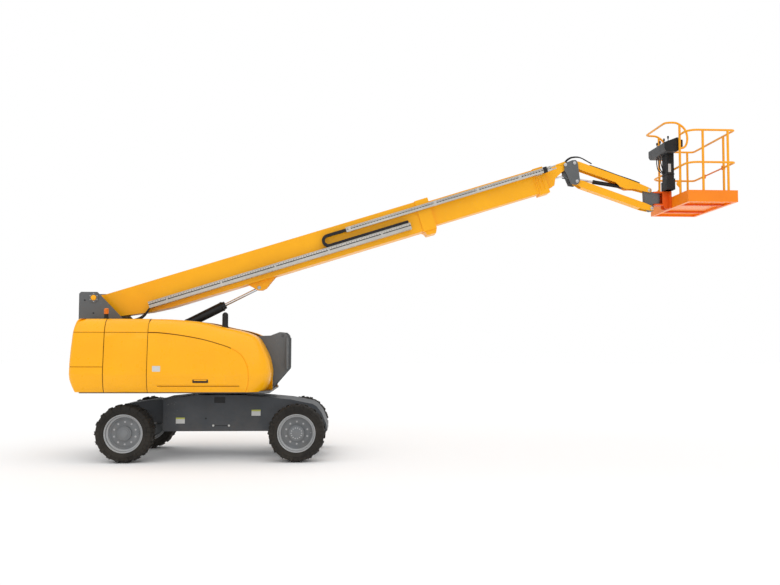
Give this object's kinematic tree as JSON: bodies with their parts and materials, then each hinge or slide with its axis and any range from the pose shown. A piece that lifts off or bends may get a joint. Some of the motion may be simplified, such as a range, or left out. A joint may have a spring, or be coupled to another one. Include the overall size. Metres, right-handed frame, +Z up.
{
  "type": "telescopic boom lift",
  "caption": "Wheeled machine whose turntable carries a telescoping boom, a jib and a railed work platform that stays level",
  "frame": {"origin": "on the ground under the centre of the bounding box", "axes": "+Z is up, +X is the way the boom points and the longest side, +Y is the machine's far side in the picture"},
  "size_m": [12.7991, 2.49, 6.6569],
  "materials": {
    "frame_grey": "painted",
    "tower_grey": "painted",
    "body_amber": "painted",
    "boom_amber": "painted",
    "platform_orange": "painted",
    "support_red": "painted",
    "rim_grey": "painted",
    "tyre_rubber": "moulded",
    "black_paint": "painted",
    "black_plastic": "moulded",
    "hose_rubber": "moulded",
    "rod_chrome": "polished",
    "cream_tube": "painted",
    "amber_lens": "moulded",
    "console_grey": "moulded"
  },
  "bodies": {
    "chassis": {"chassis_frame": "frame_grey", "slew_ring": "black_paint", "steer_axle": "frame_grey", "drive_axle": "frame_grey"},
    "knuckle_left": {"knuckle_left": "frame_grey"},
    "knuckle_right": {"knuckle_right": "frame_grey"},
    "tie_rod": {"tie_rod": "frame_grey"},
    "wheel_steer_left": {"tyre_steer_left": "tyre_rubber", "rim_steer_left": "rim_grey"},
    "wheel_steer_right": {"tyre_steer_right": "tyre_rubber", "rim_steer_right": "rim_grey"},
    "wheel_drive_left": {"tyre_drive_left": "tyre_rubber", "rim_drive_left": "rim_grey"},
    "wheel_drive_right": {"tyre_drive_right": "tyre_rubber", "rim_drive_right": "rim_grey"},
    "turntable": {"turntable_frame": "tower_grey", "counterweight": "body_amber", "side_covers": "body_amber", "engine_block": "frame_grey", "beacon": "amber_lens", "exhaust_stack": "black_paint"},
    "hood_left": {"hood_left": "body_amber"},
    "hood_right": {"hood_right": "body_amber"},
    "lift_cylinder": {"lift_cylinder": "black_paint"},
    "lift_rod": {"lift_rod": "rod_chrome"},
    "boom_base": {"boom_base": "boom_amber", "hose_tray": "cream_tube", "cable_carrier": "black_plastic", "root_hoses": "hose_rubber"},
    "boom_mid": {"boom_mid": "boom_amber", "push_tube": "cream_tube"},
    "boom_fly": {"boom_fly": "boom_amber"},
    "level_cylinder": {"level_cylinder": "black_paint"},
    "level_rod": {"level_rod": "rod_chrome"},
    "jib_bracket": {"jib_bracket": "tower_grey"},
    "jib_arm": {"jib_arm": "boom_amber"},
    "jib_link": {"jib_link": "boom_amber"},
    "jib_cylinder": {"jib_cylinder": "black_paint"},
    "jib_rod": {"jib_rod": "rod_chrome"},
    "jib_head": {"jib_head": "tower_grey"},
    "platform": {"rotator": "support_red", "platform_floor": "platform_orange", "platform_rails": "boom_amber", "control_console": "console_grey"},
    "entry_bar": {"entry_bar": "platform_orange"}
  },
  "joints": [
    {"name": "steer_left", "type": "hinge", "parent": "chassis", "child": "knuckle_left", "pos_m": [-5.3, 0.8, 0.535], "axis": [0, 0, 1], "range_deg": [-32, 32]},
    {"name": "steer_right", "type": "hinge", "parent": "chassis", "child": "knuckle_right", "pos_m": [-5.3, -0.8, 0.535], "axis": [0, 0, 1], "range_deg": [-32, 32]},
    {"name": "tie_rod_swing", "type": "hinge", "parent": "knuckle_left", "child": "tie_rod", "pos_m": [-5.065, 0.8, 0.535], "axis": [0, 0, 1], "range_deg": [-32, 32]},
    {"name": "spin_steer_left", "type": "hinge", "parent": "knuckle_left", "child": "wheel_steer_left", "pos_m": [-5.3, 1.03, 0.535], "axis": [0, 1, 0], "continuous": true},
    {"name": "spin_steer_right", "type": "hinge", "parent": "knuckle_right", "child": "wheel_steer_right", "pos_m": [-5.3, -1.03, 0.535], "axis": [0, 1, 0], "continuous": true},
    {"name": "spin_drive_left", "type": "hinge", "parent": "chassis", "child": "wheel_drive_left", "pos_m": [-2.14, 1.03, 0.535], "axis": [0, 1, 0], "continuous": true},
    {"name": "spin_drive_right", "type": "hinge", "parent": "chassis", "child": "wheel_drive_right", "pos_m": [-2.14, -1.03, 0.535], "axis": [0, 1, 0], "continuous": true},
    {"name": "slew", "type": "hinge", "parent": "chassis", "child": "turntable", "pos_m": [-3.663, 0, 1.236], "axis": [0, 0, 1], "continuous": true},
    {"name": "hood_left_open", "type": "hinge", "parent": "turntable", "child": "hood_left", "pos_m": [-4.73, 0.577, 2.66], "axis": [1, 0, 0], "range_deg": [0, 55]},
    {"name": "hood_right_open", "type": "hinge", "parent": "turntable", "child": "hood_right", "pos_m": [-4.73, -0.577, 2.66], "axis": [-1, 0, 0], "range_deg": [0, 55]},
    {"name": "boom_lift", "type": "hinge", "parent": "turntable", "child": "boom_base", "pos_m": [-6.12, 0, 3.067], "axis": [0, -1, 0], "range_deg": [-17.4, 52.6]},
    {"name": "lift_cylinder_swing", "type": "hinge", "parent": "turntable", "child": "lift_cylinder", "pos_m": [-5.825, 0, 1.846], "axis": [0, -1, 0], "range_deg": [-14.69, 43.41]},
    {"name": "lift_rod_slide", "type": "slide", "parent": "lift_cylinder", "child": "lift_rod", "axis": [0.8911, 0, 0.4539], "range_m": [-0.354, 1.061]},
    {"name": "boom_extend", "type": "slide", "parent": "boom_base", "child": "boom_mid", "axis": [0.9542, 0, 0.299], "range_m": [0, 3.4]},
    {"name": "fly_extend", "type": "slide", "parent": "boom_mid", "child": "boom_fly", "axis": [0.9542, 0, 0.299], "range_m": [-0.001, 3.401]},
    {"name": "level_cylinder_swing", "type": "hinge", "parent": "boom_fly", "child": "level_cylinder", "pos_m": [2.31932, 0, 5.39733], "axis": [0, -1, 0], "range_deg": [-2.58, 6.78]},
    {"name": "level_rod_slide", "type": "slide", "parent": "level_cylinder", "child": "level_rod", "axis": [0.9664, 0, 0.257], "range_m": [-0.15, 0.053]},
    {"name": "platform_level", "type": "hinge", "parent": "boom_fly", "child": "jib_bracket", "pos_m": [3.22124, 0, 5.8466], "axis": [0, -1, 0], "range_deg": [-53.1, 17.9]},
    {"name": "jib_lift", "type": "hinge", "parent": "jib_bracket", "child": "jib_arm", "pos_m": [3.41, 0, 5.885], "axis": [0, -1, 0], "range_deg": [-29, 84]},
    {"name": "jib_link_swing", "type": "hinge", "parent": "jib_bracket", "child": "jib_link", "pos_m": [3.46, 0, 5.51], "axis": [0, -1, 0], "range_deg": [-29.5, 84.5]},
    {"name": "jib_cylinder_swing", "type": "hinge", "parent": "jib_bracket", "child": "jib_cylinder", "pos_m": [3.506, 0, 5.572], "axis": [0, -1, 0], "range_deg": [-29.27, 83.83]},
    {"name": "jib_rod_slide", "type": "slide", "parent": "jib_cylinder", "child": "jib_rod", "axis": [0.9887, 0, -0.15], "range_m": [-0.143, 0.405]},
    {"name": "jib_head_level", "type": "hinge", "parent": "jib_arm", "child": "jib_head", "pos_m": [4.97104, 0, 5.35054], "axis": [0, -1, 0], "range_deg": [-84.5, 29.5]},
    {"name": "platform_rotate", "type": "hinge", "parent": "jib_head", "child": "platform", "pos_m": [5.15, 0, 5.18], "axis": [0, 0, 1], "range_deg": [-85, 85]},
    {"name": "entry_bar_slide", "type": "slide", "parent": "platform", "child": "entry_bar", "axis": [0, 0, 1], "range_m": [0, 0.45]}
  ],
  "couplings": [
    {"joint": "steer_right", "follows": "steer_left", "ratio": 1},
    {"joint": "tie_rod_swing", "follows": "steer_left", "ratio": -1},
    {"joint": "lift_cylinder_swing", "follows": "boom_lift", "ratio": 0.8157},
    {"joint": "lift_rod_slide", "follows": "boom_lift", "m_per_rad": 1.15},
    {"joint": "fly_extend", "follows": "boom_extend", "ratio": 1},
    {"joint": "level_cylinder_swing", "follows": "boom_lift", "ratio": 0.11942},
    {"joint": "level_rod_slide", "follows": "boom_lift", "m_per_rad": -0.15775},
    {"joint": "platform_level", "follows": "boom_lift", "ratio": -1},
    {"joint": "jib_link_swing", "follows": "jib_lift", "ratio": 1},
    {"joint": "jib_cylinder_swing", "follows": "jib_lift", "ratio": 0.992},
    {"joint": "jib_rod_slide", "follows": "jib_lift", "m_per_rad": 0.273},
    {"joint": "jib_head_level", "follows": "jib_lift", "ratio": -1}
  ]
}
